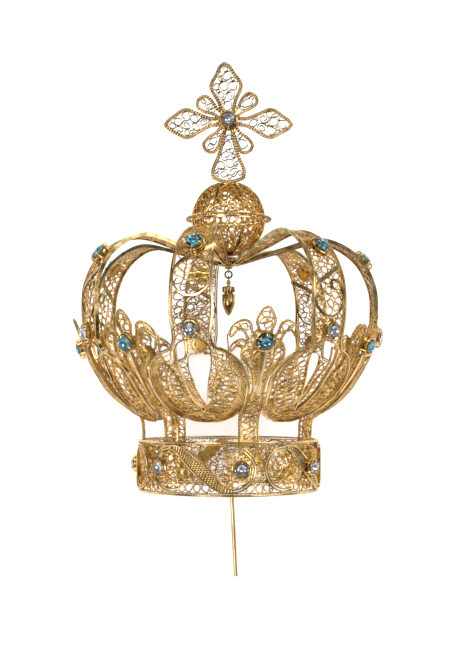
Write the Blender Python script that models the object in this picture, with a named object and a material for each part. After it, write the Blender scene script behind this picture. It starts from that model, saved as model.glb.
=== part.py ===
"""A gilt filigree crown for a statue, lying on its back.

The crown is drawn upright, with the underside of its band at height 0 and its front towards -Y,
and is then laid down on the three points that it rests on. The sheets of wirework are drawn flat,
as layers of closed outlines at a few levels, and are then bent onto their profiles.
"""
from math import acos, asin, atan2, cos, pi, radians, sin

import bmesh
import bpy
from mathutils import Matrix, Vector
from mathutils.geometry import delaunay_2d_cdt, intersect_point_tri

MM = 0.001  # the sizes below are in millimetres

# Joints between soldered pieces, and the levels of the wirework above its middle surface
GAP = 0.3
BACK = -0.35
PANEL = 0.12
RIM = 0.45
RIM_WIDTH = 0.75

# Stones and their cups
BLUE_RADIUS = 2.0
CLEAR_RADIUS = 1.8
STONE_SIDES = 8
CROWN_HEIGHT = 0.75
PAVILION_DEPTH = 1.0
TABLE_SHARE = 0.6
CUP_WALL = 0.4
CUP_FLOOR = 0.6
CUP_TOP = 2.0

# Band
BAND_RADIUS = 25.0
BAND_HEIGHT = 14.0
BAND_RIM_HEIGHT = 1.1
BAND_SEGMENTS = 32
SCROLLS = 5
SCROLL_START = radians(-17.0)
SCROLL_WIRE = 0.9
SCROLL_LAP = 0.1
SCROLL_RIBBON = 3.0
SCROLL_SPACE = 2.25
SCROLL_END = radians(70.0)
SCROLL_STEPS = 6
BAND_STONE_LEAD = radians(5.25)

# Arches: edge points as radius (share of the band's), height above the band and half width
# (share of half the pitch between two arches)
ARCHES = 7
ARCH_EDGE = [
    (0.90, 5.4, 0.300), (1.024, 7.2, 0.679), (1.156, 9.4, 0.787), (1.332, 13.6, 0.817),
    (1.44, 17.8, 0.774), (1.528, 21.9, 0.560), (1.556, 23.6, 0.325), (1.612, 32.5, 0.304),
    (1.592, 41.5, 0.291), (1.448, 48.6, 0.289), (1.088, 54.1, 0.295), (0.56, 51.6, 0.350)]
ARCH_STEP = 5.0
# Opening: height above the band and half width
OPENING_EDGE = [(8.0, 0.0), (10.3, 1.4), (15.5, 3.0), (21.0, 4.4), (24.0, 4.0), (25.8, 0.0)]
LOW_STONE_HEIGHT = 28.0
HIGH_STONE_HEIGHT = 48.4
RING_RADIUS = 4.6
# How far each arch's ring sits above the middle between its two stones
RING_RISES = (2.0, -2.4, -1.5, 0.0, 0.0, -1.5, -1.5)
RING_SIDES = 10
SLANT_RISE = 8.6

# Hub, and the ends of the arches on it
HUB_RADIUS = 2.6
HUB_HEIGHT = 3.1
HUB_LIFT = 46.8
ARCH_END_LIFT = 1.4
ARCH_END_SHARE = 0.766

# Fleurs-de-lis: profile as radius (share of the band's) and height above the band,
# and half outline as share of the half width and height above the band
FLEUR_HALF_WIDTH = 9.0
FLEUR_PROFILE = [(0.968, 6.0), (1.184, 10.2), (1.376, 15.6), (1.504, 20.6), (1.584, 25.5),
                 (1.716, 33.5), (1.732, 34.6)]
STEM_DEPTH = 3.7
STEM_HALF_WIDTH = 2.6
STEM_TOUCH_HEIGHT = 9.9
FLEUR_EDGE = [
    (0.18, 13.5), (0.23, 16.0), (0.33, 18.1), (0.47, 19.6), (0.63, 21.2), (0.62, 22.8),
    (0.52, 24.0), (0.54, 26.0), (0.62, 27.0), (0.73, 27.2), (0.82, 26.2), (0.92, 25.6),
    (1.0, 26.4), (0.96, 28.0), (0.80, 29.5), (0.58, 30.2), (0.40, 29.4), (0.33, 27.6),
    (0.25, 26.2), (0.22, 27.2), (0.30, 29.6), (0.21, 31.6), (0.09, 33.0)]
FLEUR_TIP = 33.3
FLEUR_STONE_HEIGHT = 25.2

# Globe and cross
GLOBE_RADIUS = 10.3
GLOBE_WALL = 0.8
GLOBE_RIB = 0.35
GLOBE_COLUMNS = 16
GLOBE_ROWS = 5
GLOBE_RING_WIDTH = 1.3
GLOBE_RING_HEIGHT = 1.3
GLOBE_RING_SIDES = 24
CROSS_HALF_THICKNESS = 0.65
CROSS_PANEL = 0.25
CROSS_RIM_WIDTH = 1.1
CROSS_FOOT = 16.6
# Petals as half outlines: distance from the cross's middle and half width
TOP_PETAL = [(1.0, 0.8), (5.8, 3.1), (8.6, 4.6), (10.4, 4.75), (13.1, 3.3), (15.6, 1.8), (16.5, 0.0)]
SIDE_PETAL = [(1.0, 0.8), (5.0, 1.6), (8.6, 3.4), (11.8, 4.35), (14.6, 3.5), (17.0, 1.9), (18.0, 0.0)]
FOOT_PETAL = [(1.0, 0.8), (4.8, 1.9), (9.0, 3.1), (14.6, 4.9), (15.9, 4.6), (CROSS_FOOT, 3.4)]
SMALL_PETAL = [(1.0, 0.7), (4.5, 1.3), (7.6, 2.2), (9.6, 2.0), (10.7, 0.0)]
LEFT = 90.0
TOP_LEAN = 4.0
SIDE_DROOP = 3.5
SMALL_PETAL_TURNS = (144.0, 44.0, 234.0, -56.0)
CROSS_STONE_RADIUS = 1.85

# Pendant: ring, and turned profile as radius and depth below the ring
PENDANT_RING_RADIUS = 1.2
PENDANT_RING_WIRE = 0.5
PENDANT_PROFILE = [(0.45, 0.0), (0.45, 2.8), (1.7, 2.9), (1.7, 4.0), (1.1, 4.5), (1.7, 5.0),
                   (1.75, 8.2), (1.2, 9.8), (0.4, 10.8)]
PENDANT_SIDES = 10

# Pin and the strip that carries it; the pin's middle line as height and sideways bend
PIN_RADIUS = 0.62
PIN_SIDES = 8
PIN_LENGTH = 32.5
PIN_BEND = [(0.0, 0.5), (0.26, 0.8), (0.5, 1.2), (0.75, 1.6), (1.0, 2.0)]
BRIDGE_HEIGHT = 8.8
BRIDGE_WIDTH = 3.2
BRIDGE_THICKNESS = 0.8

# Side that the crown lies on, as a direction from its middle, before it settles on three points
RESTING_SIDE = Vector((0.0, 0.918, -0.397))

HALF_PITCH = pi / ARCHES
BAND_MIDDLE = BAND_RADIUS - RIM
BAND_INSIDE = BAND_MIDDLE + BACK
SCROLL_RADIUS = BAND_HEIGHT / 2 - BAND_RIM_HEIGHT - SCROLL_WIRE / 2 + SCROLL_LAP
SCROLL_CENTRES = 2 * pi * BAND_MIDDLE / SCROLLS - 2 * SCROLL_RADIUS - SCROLL_WIRE - SCROLL_SPACE
STONE_GIRDLE = CUP_FLOOR + GAP + PAVILION_DEPTH
HUB_BOTTOM = BAND_HEIGHT + HUB_LIFT
HUB_TOP = HUB_BOTTOM + HUB_HEIGHT
GLOBE_MIDDLE = HUB_TOP + GAP + GLOBE_RADIUS
CROSS_MIDDLE = GLOBE_MIDDLE + GLOBE_RADIUS + GAP + CROSS_FOOT


def circle(centre, radius, sides):
    """A regular outline, with a flat side up and down."""
    turns = [2 * pi * (i + 0.5) / sides for i in range(sides)]
    return [(centre[0] + radius * cos(turn), centre[1] + radius * sin(turn)) for turn in turns]


def mirrored(half):
    """A closed outline from its right half, which runs from the bottom to the top."""
    left = [(-x, y) for x, y in reversed(half) if x > 0]
    return list(half) + left


def inset(loop, distance):
    """The outline moved inwards, or outwards where the distance is negative."""
    moved = []
    for before, here, after in zip([loop[-1]] + loop, loop, loop[1:] + loop[:1]):
        first = Vector((before[1] - here[1], here[0] - before[0])).normalized()
        second = Vector((here[1] - after[1], after[0] - here[0])).normalized()
        corner = (first + second) / max(0.6, 1 + first.dot(second))
        moved.append((here[0] + distance * corner.x, here[1] + distance * corner.y))
    return moved


def inside(loop, point):
    """Whether the outline goes round the point."""
    crossings = 0
    for (x1, y1), (x2, y2) in zip(loop, loop[1:] + loop[:1]):
        if (y1 > point[1]) != (y2 > point[1]):
            crossings += point[0] < x1 + (point[1] - y1) * (x2 - x1) / (y2 - y1)
    return crossings % 2 == 1


def smooth_curve(knots, step):
    """Points about a step apart on a smooth curve through the knots."""
    knots = [Vector(knot) for knot in knots]
    lengths = [(b - a).length for a, b in zip(knots, knots[1:])]
    slopes = [(b - a) / length for a, b, length in zip(knots, knots[1:], lengths)]
    tangents = [slopes[0]]
    for i in range(1, len(slopes)):
        before, after = lengths[i - 1], lengths[i]
        tangents.append((slopes[i] * before + slopes[i - 1] * after) / (before + after))
    tangents.append(slopes[-1])
    points = []
    for i, length in enumerate(lengths):
        count = max(1, round(length / step))
        for j in range(count):
            t = j / count
            points.append(knots[i] * (2 * t ** 3 - 3 * t ** 2 + 1)
                          + tangents[i] * (t ** 3 - 2 * t ** 2 + t) * length
                          + knots[i + 1] * (3 * t ** 2 - 2 * t ** 3)
                          + tangents[i + 1] * (t ** 3 - t ** 2) * length)
    return points + [knots[-1]]


class Profile:
    """A bent sheet's middle line, as radius and height, measured along its own length."""

    def __init__(self, knots):
        self.points = smooth_curve(knots, 0.3)
        self.lengths = [0.0]
        for a, b in zip(self.points, self.points[1:]):
            self.lengths.append(self.lengths[-1] + (b - a).length)

    def nearest(self, radius, height):
        """The length at which the line comes closest to a point."""
        index = min(range(len(self.points)),
                    key=lambda i: (self.points[i] - Vector((radius, height))).length)
        return self.lengths[index]

    def at_height(self, height):
        """The length at which the rising line first reaches a height."""
        for a, b, length in zip(self.points, self.points[1:], self.lengths):
            if height <= b.y:
                return length + (b - a).length * max(0.0, height - a.y) / (b.y - a.y)
        return self.lengths[-1]

    def at(self, length):
        """Point and outward direction at a length."""
        index = 0
        while index < len(self.points) - 2 and self.lengths[index + 1] < length:
            index += 1
        a, b = self.points[index], self.points[index + 1]
        along = (b - a).normalized()
        point = a + along * (length - self.lengths[index])
        before = self.points[max(0, index - 1)]
        after = self.points[min(len(self.points) - 1, index + 2)]
        tangent = (after - before).normalized()
        return point, Vector((tangent.y, -tangent.x))


def around(radius, angle, height):
    """A point of the upright crown; angle 0 is the front, and it grows towards +X."""
    return Vector((radius * sin(angle), -radius * cos(angle), height))


def bent_sheet(profile):
    """The rule that puts a point of a flat drawing onto a bent sheet."""
    def place(x, y, level):
        point, outward = profile.at(y)
        lifted = point + outward * level
        return around(lifted.x, x / point.x, lifted.y)
    return place


def upright_panel(height):
    """The rule that stands a flat drawing up, facing the front."""
    def place(x, y, level):
        return Vector((x, -level, height + y))
    return place


def level_at(layers, point):
    """The level of the last layer that covers the point; None is outside or in a hole."""
    level = None
    for loop, height in layers:
        if inside(loop, point):
            level = height
    return level


def triangles(points, edges, layers):
    """Flat triangles between the edges, each with its level, and where each point came from."""
    flat, _, faces, origins, _, _ = delaunay_2d_cdt(points, edges, [], 0, 1e-4)
    levelled = []
    for face in faces:
        centre = sum((flat[i] for i in face), Vector((0.0, 0.0))) / len(face)
        level = level_at(layers, centre)
        if level is not None:
            levelled.append((tuple(face), level))
    return flat, levelled, origins


def plate(name, layers, place, back=BACK, closes=None):
    """A closed body from layers of outlines: each is (loop, level), and later ones lie on top.

    The back is plain. Where the drawing closes on itself round the crown, closes says which
    points lie on that join.
    """
    points, edges = [], []
    for loop, _ in layers:
        first = len(points)
        points += [Vector(point) for point in loop]
        edges += [(first + i, first + (i + 1) % len(loop)) for i in range(len(loop))]
    flat, front, _ = triangles(points, edges, layers)

    sides = {}
    levels = {}
    for face, level in front:
        for a, b in zip(face, face[1:] + face[:1]):
            sides.setdefault((min(a, b), max(a, b)), []).append(level)
            levels.setdefault(a, set()).add(level)
    border = [edge for edge, found in sides.items() if len(found) == 1]
    for edge in border:
        sides[edge].append(back)
        for index in edge:
            levels[index].add(back)

    rim = sorted({index for edge in border for index in edge})
    order = {index: i for i, index in enumerate(rim)}
    _, behind, origins = triangles([flat[i] for i in rim],
                                   [(order[a], order[b]) for a, b in border], layers)

    mesh = bmesh.new()
    made = {}

    def corner(index, level):
        key = (index, level)
        if key not in made:
            made[key] = mesh.verts.new(place(flat[index].x, flat[index].y, level) * MM)
        return made[key]

    for face, level in front:
        mesh.faces.new([corner(i, level) for i in face])
    for face, _ in behind:
        mesh.faces.new([corner(rim[origins[i][0]], back) for i in reversed(face)])
    for (a, b), found in sides.items():
        if closes and found[-1] == back and closes(flat[a]) and closes(flat[b]):
            continue
        low, high = min(found), max(found)
        ladders = [[corner(i, level) for level in sorted(levels[i]) if low <= level <= high]
                   for i in (a, b)]
        wall(mesh, *ladders)
    bmesh.ops.remove_doubles(mesh, verts=mesh.verts[:], dist=1e-7)
    bmesh.ops.recalc_face_normals(mesh, faces=mesh.faces[:])
    return finished_mesh(name, mesh)


def wall(mesh, left, right):
    """Triangles between two ladders of corners that stand side by side."""
    i = j = 0
    while i < len(left) - 1 or j < len(right) - 1:
        if j == len(right) - 1 or (i < len(left) - 1 and i <= j):
            mesh.faces.new([left[i], right[j], left[i + 1]])
            i += 1
        else:
            mesh.faces.new([left[i], right[j], right[j + 1]])
            j += 1


def finished_mesh(name, mesh, smooth=False):
    """A mesh in the file from an edited one."""
    data = bpy.data.meshes.new(name)
    mesh.to_mesh(data)
    mesh.free()
    if smooth:
        data.shade_smooth()
        data.set_sharp_from_angle(angle=radians(40.0))
    return data


def turned(name, profile, sides, closed=False, relief=None):
    """A body turned round Z from points of radius and height, from axis to axis or closed.

    relief(row, column) is added to a point's radius.
    """
    mesh = bmesh.new()
    rings = []
    for row, (radius, height) in enumerate(profile):
        if radius < 1e-6:
            rings.append([mesh.verts.new(Vector((0.0, 0.0, height)) * MM)])
            continue
        rings.append([
            mesh.verts.new(around(radius + (relief(row, column) if relief else 0.0),
                                  2 * pi * column / sides, height) * MM)
            for column in range(sides)])
    pairs = list(zip(rings, rings[1:]))
    if closed:
        pairs.append((rings[-1], rings[0]))
    for lower, upper in pairs:
        for column in range(sides):
            following = (column + 1) % sides
            corners = [lower[column % len(lower)], lower[following % len(lower)],
                       upper[following % len(upper)], upper[column % len(upper)]]
            mesh.faces.new(list(dict.fromkeys(corners)))
    bmesh.ops.recalc_face_normals(mesh, faces=mesh.faces[:])
    return finished_mesh(name, mesh, smooth=True)


def metal(name):
    """Polished yellow gilding."""
    return finish(name, (1.0, 0.62, 0.22), 0.24, 1.0)


def finish(name, colour, roughness, metallic, transmission=0.0):
    """A plain material."""
    material = bpy.data.materials.new(name)
    material.use_nodes = True
    shader = material.node_tree.nodes["Principled BSDF"]
    shader.inputs["Base Color"].default_value = (*colour, 1.0)
    shader.inputs["Roughness"].default_value = roughness
    shader.inputs["Metallic"].default_value = metallic
    shader.inputs["Transmission Weight"].default_value = transmission
    material.diffuse_color = (*colour, 1.0)
    return material


def add(name, mesh, material, crown, place=None):
    """Put a body on the crown."""
    if not mesh.materials:
        mesh.materials.append(material)
    body = bpy.data.objects.new(name, mesh)
    bpy.context.scene.collection.objects.link(body)
    body.parent = crown
    if place is not None:
        body.matrix_basis = place
    return body


def repeated(name, mesh, material, crown, turns, place=Matrix()):
    """Put copies of a body round the crown, numbered from the front."""
    for number, turn in enumerate(turns, 1):
        add(f"{name}_{number}", mesh, material, crown, Matrix.Rotation(turn, 4, "Z") @ place)


def cup(centre, stone_radius):
    """Layers of the cup that holds a stone."""
    hollow = stone_radius + GAP
    return [(circle(centre, hollow + CUP_WALL, STONE_SIDES), CUP_TOP),
            (circle(centre, hollow, STONE_SIDES), CUP_FLOOR)]


def stone_mesh(name, radius):
    """A cut stone, with its girdle on the XY plane."""
    girdle = circle((0.0, 0.0), radius, STONE_SIDES)
    table = circle((0.0, 0.0), radius * TABLE_SHARE, STONE_SIDES)
    mesh = bmesh.new()
    edge = [mesh.verts.new(Vector((x, y, 0.0)) * MM) for x, y in girdle]
    top = [mesh.verts.new(Vector((x, y, CROWN_HEIGHT)) * MM) for x, y in table]
    tip = mesh.verts.new(Vector((0.0, 0.0, -PAVILION_DEPTH)) * MM)
    mesh.faces.new(top)
    for i in range(STONE_SIDES):
        j = (i + 1) % STONE_SIDES
        mesh.faces.new([edge[i], edge[j], top[j], top[i]])
        mesh.faces.new([edge[j], edge[i], tip])
    bmesh.ops.recalc_face_normals(mesh, faces=mesh.faces[:])
    return finished_mesh(name, mesh)


def seat(place, y):
    """Where a stone's girdle sits on a drawing's middle line."""
    origin = place(0.0, y, STONE_GIRDLE)
    outward = (origin - place(0.0, y, 0.0)).normalized()
    sideways = Vector((1.0, 0.0, 0.0))
    upward = outward.cross(sideways)
    axes = Matrix((sideways, upward, outward)).transposed().to_4x4()
    return Matrix.Translation(origin * MM) @ axes


def scroll_ribbon(middle):
    """One S-shaped ribbon of the band: round a left circle, down a broad slant, round a right one."""
    half = SCROLL_CENTRES / 2
    slant = acos(2 * SCROLL_RADIUS / SCROLL_CENTRES)
    turn = pi + SCROLL_END - slant
    centre = (middle - half, BAND_HEIGHT / 2)
    outer, inner = [], []
    for step in range(SCROLL_STEPS + 1):
        angle = pi + SCROLL_END - turn * step / SCROLL_STEPS
        wire = SCROLL_WIRE if step < SCROLL_STEPS else (SCROLL_WIRE + SCROLL_RIBBON) / 2
        for side, radius in ((outer, SCROLL_RADIUS + SCROLL_WIRE / 2),
                             (inner, SCROLL_RADIUS + SCROLL_WIRE / 2 - wire)):
            side.append((centre[0] + radius * cos(angle), centre[1] + radius * sin(angle)))
    first_half = outer + [(2 * middle - x, BAND_HEIGHT - y) for x, y in reversed(inner)]
    return first_half + [(2 * middle - x, BAND_HEIGHT - y) for x, y in first_half]


def fleur_turns():
    """Angles of the fleurs-de-lis, numbered from the one at the front's right."""
    return [HALF_PITCH / 2 + 2 * HALF_PITCH * k for k in range(ARCHES)]


def band_stone_turns():
    """Angles of the band's stones, a little before the fleurs-de-lis."""
    return [turn - BAND_STONE_LEAD for turn in fleur_turns()]


def arch_turns():
    """Angles of the arches, midway between the fleurs-de-lis."""
    return [-HALF_PITCH / 2 + 2 * HALF_PITCH * k for k in range(ARCHES)]


def add_band(crown, gold, clear):
    """The band, its scroll ribbons and its stones."""
    gaps = [SCROLL_START + (2 * k + 1) * pi / SCROLLS for k in range(SCROLLS)]
    join = max(gaps, key=lambda gap: min(abs((gap - turn + pi) % (2 * pi) - pi)
                                         for turn in band_stone_turns()))
    length = 2 * pi * BAND_MIDDLE

    def along(turn):
        return (turn - join) % (2 * pi) * BAND_MIDDLE

    def strip(low, high):
        xs = [length * i / BAND_SEGMENTS for i in range(BAND_SEGMENTS + 1)]
        return [(x, low) for x in xs] + [(x, high) for x in reversed(xs)]

    top = BAND_HEIGHT - BAND_RIM_HEIGHT
    layers = [(strip(0.0, BAND_RIM_HEIGHT), RIM), (strip(top, BAND_HEIGHT), RIM),
              (strip(BAND_RIM_HEIGHT, top), PANEL)]
    for k in range(SCROLLS):
        layers.append((scroll_ribbon(along(SCROLL_START + 2 * pi * k / SCROLLS)), RIM))
    for turn in band_stone_turns():
        layers += cup((along(turn), BAND_HEIGHT / 2), CLEAR_RADIUS)

    def place(x, y, level):
        return around(BAND_MIDDLE + level, join + x / BAND_MIDDLE, y)

    def closes(point):
        return point.x < 1e-3 or point.x > length - 1e-3

    add("band", plate("band", layers, place, closes=closes), gold, crown)
    front = seat(lambda x, y, level: around(BAND_MIDDLE + level, x / BAND_MIDDLE, y),
                 BAND_HEIGHT / 2)
    repeated("stone_band", stone_mesh("stone_band", CLEAR_RADIUS), clear, crown, band_stone_turns(),
             front)


def arch_edge():
    """Edge knots of an arch as radius, height and half width, from its foot to the hub."""
    knots = [(share * BAND_RADIUS, BAND_HEIGHT + lift, width * HALF_PITCH * share * BAND_RADIUS)
             for share, lift, width in ARCH_EDGE]
    end = HUB_RADIUS + GAP
    return knots + [(end, HUB_BOTTOM + ARCH_END_LIFT, ARCH_END_SHARE * HALF_PITCH * end)]


def slant(middle):
    """The strip that comes down from a strap's right edge and touches its ring's upper left."""
    start = Vector((RING_RADIUS, SLANT_RISE))
    touch = RING_RADIUS - RIM_WIDTH / 2
    reach = (start.length_squared - touch ** 2) ** 0.5
    turn = atan2(-start.y, -start.x) - asin(touch / start.length)
    along = Vector((cos(turn), sin(turn)))
    across = Vector((-along.y, along.x)) * RIM_WIDTH / 2
    corners = [start - across, start + across, start + along * reach + across,
               start + along * reach - across]
    return [(middle[0] + corner.x, middle[1] + corner.y) for corner in corners]


def add_arches(crown, gold, blue, clear):
    """The seven arches and their stones."""
    knots = arch_edge()
    profile = Profile([(radius, height) for radius, height, _ in knots])
    place = bent_sheet(profile)
    edge = [(width, profile.nearest(radius, height))
            for radius, height, width in smooth_curve(knots, ARCH_STEP)]
    outline = mirrored(edge)
    opening = mirrored([(width, profile.at_height(BAND_HEIGHT + lift))
                        for lift, width in OPENING_EDGE])
    low = profile.at_height(BAND_HEIGHT + LOW_STONE_HEIGHT)
    high = profile.at_height(BAND_HEIGHT + HIGH_STONE_HEIGHT)
    turns = arch_turns()
    for number, (turn, rise) in enumerate(zip(turns, RING_RISES), 1):
        middle = (0.0, (low + high) / 2 + rise)
        layers = [(outline, RIM), (inset(outline, RIM_WIDTH), PANEL),
                  (inset(opening, -RIM_WIDTH), RIM), (opening, None),
                  (circle(middle, RING_RADIUS, RING_SIDES), RIM),
                  (circle(middle, RING_RADIUS - RIM_WIDTH, RING_SIDES), PANEL),
                  (slant(middle), RIM)]
        layers += cup((0.0, low), CLEAR_RADIUS) + cup((0.0, high), BLUE_RADIUS)
        add(f"arch_{number}", plate(f"arch_{number}", layers, place), gold, crown,
            Matrix.Rotation(turn, 4, "Z"))
    repeated("stone_arch_low", stone_mesh("stone_arch_low", CLEAR_RADIUS), clear, crown, turns,
             seat(place, low))
    repeated("stone_arch_high", stone_mesh("stone_arch_high", BLUE_RADIUS), blue, crown, turns,
             seat(place, high))


def free_half_width(height):
    """Half the room between two arches at a height, less the joint."""
    knots = smooth_curve(arch_edge(), 0.5)
    radius, _, width = min(knots, key=lambda knot: abs(knot.y - height))
    return HALF_PITCH * radius - width - GAP


def add_fleurs(crown, gold, blue):
    """The seven fleurs-de-lis, whose stems stand inside the band, and their stones."""
    stem_radius = BAND_INSIDE - GAP - RIM
    foot = BAND_HEIGHT - STEM_DEPTH
    knots = [(stem_radius, foot), (stem_radius, BAND_HEIGHT + GAP)]
    knots += [(share * BAND_RADIUS, BAND_HEIGHT + lift) for share, lift in FLEUR_PROFILE]
    profile = Profile(knots)
    place = bent_sheet(profile)
    touch = BAND_HEIGHT + STEM_TOUCH_HEIGHT
    half = [(STEM_HALF_WIDTH, foot), (STEM_HALF_WIDTH, BAND_HEIGHT + GAP),
            (free_half_width(touch), touch)]
    half += [(share * FLEUR_HALF_WIDTH, BAND_HEIGHT + lift) for share, lift in FLEUR_EDGE]
    half.append((0.0, BAND_HEIGHT + FLEUR_TIP))
    outline = mirrored([(x, profile.at_height(height)) for x, height in half])
    stone = profile.at_height(BAND_HEIGHT + FLEUR_STONE_HEIGHT)
    layers = [(outline, RIM)] + cup((0.0, stone), BLUE_RADIUS)
    turns = fleur_turns()
    repeated("fleur", plate("fleur", layers, place), gold, crown, turns)
    repeated("stone_fleur", stone_mesh("stone_fleur", BLUE_RADIUS), blue, crown, turns,
             seat(place, stone))


def add_hub_and_globe(crown, gold):
    """The hub, the two halves of the globe and the ring round its middle."""
    hub = [(0.0, HUB_BOTTOM), (HUB_RADIUS, HUB_BOTTOM), (HUB_RADIUS, HUB_TOP), (0.0, HUB_TOP)]
    add("hub", turned("hub", hub, 10), gold, crown)

    inner_radius = GLOBE_RADIUS - GLOBE_WALL
    lift = GAP / 2

    def dome(radius, rows):
        angles = [pi / 2 * row / rows for row in range(rows + 1)]
        return [(radius * cos(angle), lift + (radius - lift) * sin(angle)) for angle in angles]

    outside = dome(GLOBE_RADIUS, GLOBE_ROWS)
    inside_wall = dome(inner_radius, GLOBE_ROWS)
    outside[-1] = (0.0, GLOBE_RADIUS)
    inside_wall[-1] = (0.0, inner_radius)
    shell = outside[::-1] + inside_wall
    half = turned("globe", shell, GLOBE_COLUMNS,
                  relief=lambda row, column: -GLOBE_RIB if row <= GLOBE_ROWS and column % 2 else 0.0)
    middle = Matrix.Translation(Vector((0.0, 0.0, GLOBE_MIDDLE)) * MM)
    add("globe_upper", half, gold, crown, middle)
    add("globe_lower", half, gold, crown, middle @ Matrix.Rotation(pi, 4, "X"))

    ring_inside = GLOBE_RADIUS + GAP
    ring_outside = ring_inside + GLOBE_RING_WIDTH
    low, high = -GLOBE_RING_HEIGHT / 2, GLOBE_RING_HEIGHT / 2
    ring = [(ring_inside, low), (ring_outside, low), (ring_outside, high), (ring_inside, high)]
    add("globe_ring", turned("globe_ring", ring, GLOBE_RING_SIDES, closed=True), gold, crown, middle)


def petal(half, turn):
    """A petal's outline, turned from straight up."""
    outline = [(width, distance) for distance, width in half]
    outline = mirrored(outline)
    c, s = cos(radians(turn)), sin(radians(turn))
    return [(x * c - y * s, x * s + y * c) for x, y in outline]


def add_cross(crown, gold, clear):
    """The cross and its stone."""
    large = [(TOP_PETAL, TOP_LEAN), (SIDE_PETAL, LEFT + SIDE_DROOP), (SIDE_PETAL, -LEFT - SIDE_DROOP),
             (FOOT_PETAL, 2 * LEFT)]
    layers = [(petal(SMALL_PETAL, turn - LEFT), CROSS_HALF_THICKNESS) for turn in SMALL_PETAL_TURNS]
    layers += [(petal(half, turn), CROSS_HALF_THICKNESS) for half, turn in large]
    layers += [(inset(petal(half[1:], turn), CROSS_RIM_WIDTH), CROSS_PANEL) for half, turn in large]
    layers += cup((0.0, 0.0), CROSS_STONE_RADIUS)
    place = upright_panel(CROSS_MIDDLE)
    add("cross", plate("cross", layers, place, back=-CROSS_HALF_THICKNESS), gold, crown)
    add("stone_cross", stone_mesh("stone_cross", CROSS_STONE_RADIUS), clear, crown, seat(place, 0.0))


def add_pendant(crown, gold):
    """The link under the hub and the turned pendant on it."""
    half_wire = PENDANT_RING_WIRE / 2
    middle_radius = PENDANT_RING_RADIUS - half_wire
    section = [(middle_radius - half_wire, -half_wire), (middle_radius + half_wire, -half_wire),
               (middle_radius + half_wire, half_wire), (middle_radius - half_wire, half_wire)]
    ring_middle = HUB_BOTTOM - GAP - PENDANT_RING_RADIUS
    upright = Matrix.Translation(Vector((0.0, 0.0, ring_middle)) * MM) @ Matrix.Rotation(pi / 2, 4, "X")
    add("pendant_ring", turned("pendant_ring", section, PENDANT_SIDES, closed=True), gold, crown, upright)
    top = ring_middle - PENDANT_RING_RADIUS - GAP
    profile = [(0.0, 0.0)] + [(radius, -depth) for radius, depth in PENDANT_PROFILE]
    profile.append((0.0, profile[-1][1]))
    add("pendant", turned("pendant", profile, PENDANT_SIDES), gold, crown,
        Matrix.Translation(Vector((0.0, 0.0, top)) * MM))


def add_pin(crown, gold):
    """The bent pin and the strip across the band that carries it."""
    top = BRIDGE_HEIGHT - GAP
    mesh = bmesh.new()
    rings = []
    for share, bend in PIN_BEND:
        middle = Vector((bend, 0.0, top - share * PIN_LENGTH))
        rings.append([mesh.verts.new((middle + around(PIN_RADIUS, 2 * pi * i / PIN_SIDES, 0.0)) * MM)
                      for i in range(PIN_SIDES)])
    mesh.faces.new(rings[0])
    mesh.faces.new(rings[-1])
    for upper, lower in zip(rings, rings[1:]):
        for i in range(PIN_SIDES):
            j = (i + 1) % PIN_SIDES
            mesh.faces.new([upper[i], upper[j], lower[j], lower[i]])
    bmesh.ops.recalc_face_normals(mesh, faces=mesh.faces[:])
    add("head_pin", finished_mesh("head_pin", mesh, smooth=True), gold, crown)

    half_width = BRIDGE_WIDTH / 2
    half_length = BAND_INSIDE * cos(pi / BAND_SEGMENTS) - GAP
    mesh = bmesh.new()
    bmesh.ops.create_cube(mesh, size=1.0)
    bmesh.ops.scale(mesh, vec=Vector((2 * half_width, 2 * half_length, BRIDGE_THICKNESS)) * MM,
                    verts=mesh.verts[:])
    height = BRIDGE_HEIGHT + BRIDGE_THICKNESS / 2
    add("pin_bridge", finished_mesh("pin_bridge", mesh), gold, crown,
        Matrix.Translation(Vector((0.0, 0.0, height)) * MM))


def world_points(bodies):
    return [body.matrix_world @ vertex.co for body in bodies for vertex in body.data.vertices]


def middle_of_mass(bodies):
    """Middle of the bodies' volume."""
    total, moment = 0.0, Vector()
    for body in bodies:
        body.data.calc_loop_triangles()
        for triangle in body.data.loop_triangles:
            a, b, c = (body.matrix_world @ body.data.vertices[i].co for i in triangle.vertices)
            volume = a.dot(b.cross(c)) / 6
            total += volume
            moment += volume * (a + b + c) / 4
    return moment / total


def lay_down(crown, bodies):
    """Turn the crown so that it rests on the hull face under its weight, nearest the chosen side."""
    bpy.context.view_layer.update()
    weight = middle_of_mass(bodies)
    hull = bmesh.new()
    for point in world_points(bodies):
        hull.verts.new(point)
    bmesh.ops.convex_hull(hull, input=hull.verts[:])
    hull.normal_update()

    def carries(face):
        foot = weight + face.normal * (face.verts[0].co - weight).dot(face.normal)
        return intersect_point_tri(foot, *(vertex.co for vertex in face.verts)) is not None

    resting = max((face for face in hull.faces if carries(face)),
                  key=lambda face: face.normal.dot(RESTING_SIDE))
    up = -resting.normal.normalized()
    hull.free()
    axis = Vector((0.0, 0.0, 1.0))
    forward = (axis - up * axis.dot(up)).normalized()
    crown.matrix_world = Matrix((forward.cross(up), forward, up)).to_4x4()
    bpy.context.view_layer.update()
    points = world_points(bodies)
    low = [min(point[i] for point in points) for i in range(3)]
    high = [max(point[i] for point in points) for i in range(3)]
    corner = Vector(((low[0] + high[0]) / 2, (low[1] + high[1]) / 2, low[2]))
    crown.matrix_world = Matrix.Translation(-corner) @ crown.matrix_world
    bpy.context.view_layer.update()


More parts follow.
